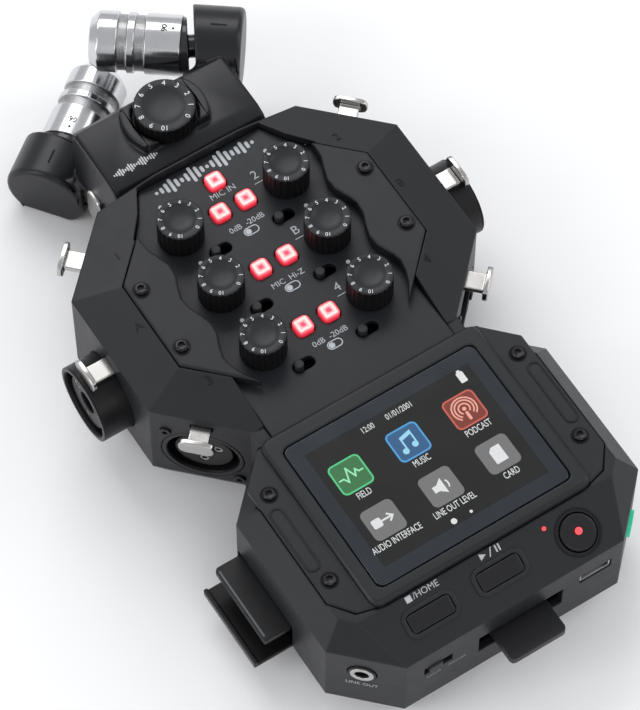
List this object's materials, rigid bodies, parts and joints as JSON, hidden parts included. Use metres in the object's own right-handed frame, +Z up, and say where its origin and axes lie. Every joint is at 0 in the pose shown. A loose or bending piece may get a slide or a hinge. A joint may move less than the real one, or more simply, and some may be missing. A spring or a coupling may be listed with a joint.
{
  "type": "portable audio field recorder",
  "caption": "Handheld multitrack field recorder with octagonal decks, gain knobs, microphone sockets, a touch screen and a removable crossed-pair microphone capsule.",
  "frame": {"origin": "on the base plane, on the centreline, under the waist between the two decks", "axes": "+Z up, +Y from the transport keys to the microphones, +X to the right seen from the keys"},
  "size_m": [0.1164, 0.2166, 0.0486],
  "materials": {
    "shell": "fine moulded texture, soft sheen",
    "dark_plastic": "fine moulded texture",
    "panel": "satin moulded",
    "screen": "polished touch glass",
    "cell_wrap": "printed sleeve",
    "brass_insert": "machined",
    "circuit_board": "solder mask",
    "nickel": "bright nickel plate",
    "steel": "drawn can",
    "card_plastic": "fine moulded texture",
    "knob_plastic": "satin moulded",
    "mic_metal": "bright satin turned",
    "lit_key": "translucent rubber, lit from below",
    "socket_plastic": "moulded"
  },
  "bodies": {
    "main_unit": {"lower_shell": "shell", "upper_shell": "shell", "speaker": "dark_plastic", "control_panel": "panel", "left_knob_guard": "panel", "right_knob_guard": "panel", "display_frame": "panel", "touch_glass": "screen", "battery_cell_1": "cell_wrap", "battery_cell_2": "cell_wrap", "battery_cell_3": "cell_wrap", "battery_cell_4": "cell_wrap", "tripod_nut": "brass_insert", "main_board": "circuit_board", "line_out_jack": "nickel", "phone_jack": "nickel", "usb_port": "steel", "xlr_socket_1": "socket_plastic", "xlr_socket_2": "socket_plastic", "combo_socket_a": "socket_plastic", "combo_socket_b": "socket_plastic", "xlr_socket_3": "socket_plastic", "xlr_socket_4": "socket_plastic"},
    "gain_knob_1": {"gain_knob_1": "knob_plastic"},
    "track_key_1": {"track_key_1": "lit_key"},
    "pad_switch_1": {"pad_switch_1": "knob_plastic"},
    "latch_tab_1": {"latch_tab_1": "nickel"},
    "gain_knob_2": {"gain_knob_2": "knob_plastic"},
    "track_key_2": {"track_key_2": "lit_key"},
    "pad_switch_2": {"pad_switch_2": "knob_plastic"},
    "latch_tab_2": {"latch_tab_2": "nickel"},
    "gain_knob_a": {"gain_knob_a": "knob_plastic"},
    "track_key_a": {"track_key_a": "lit_key"},
    "pad_switch_a": {"pad_switch_a": "knob_plastic"},
    "latch_tab_a": {"latch_tab_a": "nickel"},
    "gain_knob_b": {"gain_knob_b": "knob_plastic"},
    "track_key_b": {"track_key_b": "lit_key"},
    "pad_switch_b": {"pad_switch_b": "knob_plastic"},
    "latch_tab_b": {"latch_tab_b": "nickel"},
    "gain_knob_3": {"gain_knob_3": "knob_plastic"},
    "track_key_3": {"track_key_3": "lit_key"},
    "pad_switch_3": {"pad_switch_3": "knob_plastic"},
    "latch_tab_3": {"latch_tab_3": "nickel"},
    "gain_knob_4": {"gain_knob_4": "knob_plastic"},
    "track_key_4": {"track_key_4": "lit_key"},
    "pad_switch_4": {"pad_switch_4": "knob_plastic"},
    "latch_tab_4": {"latch_tab_4": "nickel"},
    "track_key_mic": {"track_key_mic": "lit_key"},
    "stop_key": {"stop_key": "knob_plastic"},
    "play_key": {"play_key": "knob_plastic"},
    "rec_key": {"rec_key": "knob_plastic"},
    "power_slider": {"power_slider": "knob_plastic"},
    "battery_door": {"battery_door": "dark_plastic"},
    "wireless_adapter": {"wireless_adapter": "card_plastic"},
    "sd_cover": {"sd_cover": "dark_plastic"},
    "sd_card": {"sd_card": "card_plastic"},
    "capsule_body": {"capsule_body": "shell"},
    "capsule_dial": {"capsule_dial": "knob_plastic"},
    "mic_left": {"mic_left": "mic_metal"},
    "mic_right": {"mic_right": "mic_metal"}
  },
  "joints": [
    {"name": "gain_knob_1_turn", "type": "hinge", "parent": "main_unit", "child": "gain_knob_1", "pos_m": [-0.0161, 0.0578, 0.044], "axis": [0, 0, 1], "range_deg": [-140, 140]},
    {"name": "track_key_1_press", "type": "slide", "parent": "main_unit", "child": "track_key_1", "axis": [0, 0, -1], "range_m": [0, 0.0006], "stiffness_N_per_m": 400},
    {"name": "pad_switch_1_slide", "type": "slide", "parent": "main_unit", "child": "pad_switch_1", "axis": [1, 0, 0], "range_m": [0, 0.0029]},
    {"name": "latch_tab_1_press", "type": "slide", "parent": "main_unit", "child": "latch_tab_1", "axis": [0.7071, -0.7071, 0], "range_m": [0, 0.0012], "stiffness_N_per_m": 500},
    {"name": "gain_knob_2_turn", "type": "hinge", "parent": "main_unit", "child": "gain_knob_2", "pos_m": [0.0161, 0.0578, 0.044], "axis": [0, 0, 1], "range_deg": [-140, 140]},
    {"name": "track_key_2_press", "type": "slide", "parent": "main_unit", "child": "track_key_2", "axis": [0, 0, -1], "range_m": [0, 0.0006], "stiffness_N_per_m": 400},
    {"name": "pad_switch_2_slide", "type": "slide", "parent": "main_unit", "child": "pad_switch_2", "axis": [1, 0, 0], "range_m": [0, 0.0029]},
    {"name": "latch_tab_2_press", "type": "slide", "parent": "main_unit", "child": "latch_tab_2", "axis": [-0.7071, -0.7071, 0], "range_m": [0, 0.0012], "stiffness_N_per_m": 500},
    {"name": "gain_knob_a_turn", "type": "hinge", "parent": "main_unit", "child": "gain_knob_a", "pos_m": [-0.0161, 0.03795, 0.044], "axis": [0, 0, 1], "range_deg": [-140, 140]},
    {"name": "track_key_a_press", "type": "slide", "parent": "main_unit", "child": "track_key_a", "axis": [0, 0, -1], "range_m": [0, 0.0006], "stiffness_N_per_m": 400},
    {"name": "pad_switch_a_slide", "type": "slide", "parent": "main_unit", "child": "pad_switch_a", "axis": [1, 0, 0], "range_m": [0, 0.0029]},
    {"name": "latch_tab_a_press", "type": "slide", "parent": "main_unit", "child": "latch_tab_a", "axis": [1, 0, 0], "range_m": [0, 0.0012], "stiffness_N_per_m": 500},
    {"name": "gain_knob_b_turn", "type": "hinge", "parent": "main_unit", "child": "gain_knob_b", "pos_m": [0.0161, 0.03795, 0.044], "axis": [0, 0, 1], "range_deg": [-140, 140]},
    {"name": "track_key_b_press", "type": "slide", "parent": "main_unit", "child": "track_key_b", "axis": [0, 0, -1], "range_m": [0, 0.0006], "stiffness_N_per_m": 400},
    {"name": "pad_switch_b_slide", "type": "slide", "parent": "main_unit", "child": "pad_switch_b", "axis": [1, 0, 0], "range_m": [0, 0.0029]},
    {"name": "latch_tab_b_press", "type": "slide", "parent": "main_unit", "child": "latch_tab_b", "axis": [-1, 0, 0], "range_m": [0, 0.0012], "stiffness_N_per_m": 500},
    {"name": "gain_knob_3_turn", "type": "hinge", "parent": "main_unit", "child": "gain_knob_3", "pos_m": [-0.0161, 0.01785, 0.044], "axis": [0, 0, 1], "range_deg": [-140, 140]},
    {"name": "track_key_3_press", "type": "slide", "parent": "main_unit", "child": "track_key_3", "axis": [0, 0, -1], "range_m": [0, 0.0006], "stiffness_N_per_m": 400},
    {"name": "pad_switch_3_slide", "type": "slide", "parent": "main_unit", "child": "pad_switch_3", "axis": [1, 0, 0], "range_m": [0, 0.0029]},
    {"name": "latch_tab_3_press", "type": "slide", "parent": "main_unit", "child": "latch_tab_3", "axis": [0.7071, 0.7071, 0], "range_m": [0, 0.0012], "stiffness_N_per_m": 500},
    {"name": "gain_knob_4_turn", "type": "hinge", "parent": "main_unit", "child": "gain_knob_4", "pos_m": [0.0161, 0.01785, 0.044], "axis": [0, 0, 1], "range_deg": [-140, 140]},
    {"name": "track_key_4_press", "type": "slide", "parent": "main_unit", "child": "track_key_4", "axis": [0, 0, -1], "range_m": [0, 0.0006], "stiffness_N_per_m": 400},
    {"name": "pad_switch_4_slide", "type": "slide", "parent": "main_unit", "child": "pad_switch_4", "axis": [1, 0, 0], "range_m": [0, 0.0029]},
    {"name": "latch_tab_4_press", "type": "slide", "parent": "main_unit", "child": "latch_tab_4", "axis": [-0.7071, 0.7071, 0], "range_m": [0, 0.0012], "stiffness_N_per_m": 500},
    {"name": "track_key_mic_press", "type": "slide", "parent": "main_unit", "child": "track_key_mic", "axis": [0, 0, -1], "range_m": [0, 0.0006], "stiffness_N_per_m": 400},
    {"name": "stop_key_press", "type": "slide", "parent": "main_unit", "child": "stop_key", "axis": [0, 0.4549, -0.8906], "range_m": [0, 0.0006], "stiffness_N_per_m": 400},
    {"name": "play_key_press", "type": "slide", "parent": "main_unit", "child": "play_key", "axis": [0, 0.4549, -0.8906], "range_m": [0, 0.0006], "stiffness_N_per_m": 400},
    {"name": "rec_key_press", "type": "slide", "parent": "main_unit", "child": "rec_key", "axis": [0, 0.4549, -0.8906], "range_m": [0, 0.0006], "stiffness_N_per_m": 400},
    {"name": "power_slider_slide", "type": "slide", "parent": "main_unit", "child": "power_slider", "axis": [1, 0, 0], "range_m": [-0.0009, 0.0026]},
    {"name": "battery_door_hinge", "type": "hinge", "parent": "main_unit", "child": "battery_door", "pos_m": [0, -0.0666, 0], "axis": [-1, 0, 0], "range_deg": [0, 95]},
    {"name": "wireless_adapter_pull", "type": "slide", "parent": "main_unit", "child": "wireless_adapter", "axis": [0, -1, 0], "range_m": [0, 0.016]},
    {"name": "sd_cover_hinge", "type": "hinge", "parent": "main_unit", "child": "sd_cover", "pos_m": [-0.0464, -0.031, 0.00865], "axis": [0, 1, 0], "range_deg": [0, 90]},
    {"name": "sd_card_slide", "type": "slide", "parent": "main_unit", "child": "sd_card", "axis": [1, 0, 0], "range_m": [0, 0.01]},
    {"name": "capsule_slide_off", "type": "slide", "parent": "main_unit", "child": "capsule_body", "axis": [0, 1, 0], "range_m": [0, 0.016]},
    {"name": "capsule_dial_turn", "type": "hinge", "parent": "capsule_body", "child": "capsule_dial", "pos_m": [0, 0.0921, 0.041], "axis": [0, 0, 1], "range_deg": [-140, 140]},
    {"name": "mic_left_turn", "type": "hinge", "parent": "capsule_body", "child": "mic_left", "pos_m": [-0.01993, 0.11312, 0.00875], "axis": [0.8704, 0.4924, 0], "range_deg": [0, 180]},
    {"name": "mic_right_turn", "type": "hinge", "parent": "capsule_body", "child": "mic_right", "pos_m": [0.01993, 0.11312, 0.029], "axis": [0.8704, -0.4924, 0], "range_deg": [0, 180]}
  ],
  "couplings": [
    {"joint": "sd_cover_hinge", "follows": "sd_card_slide", "rad_per_m": 157}
  ]
}
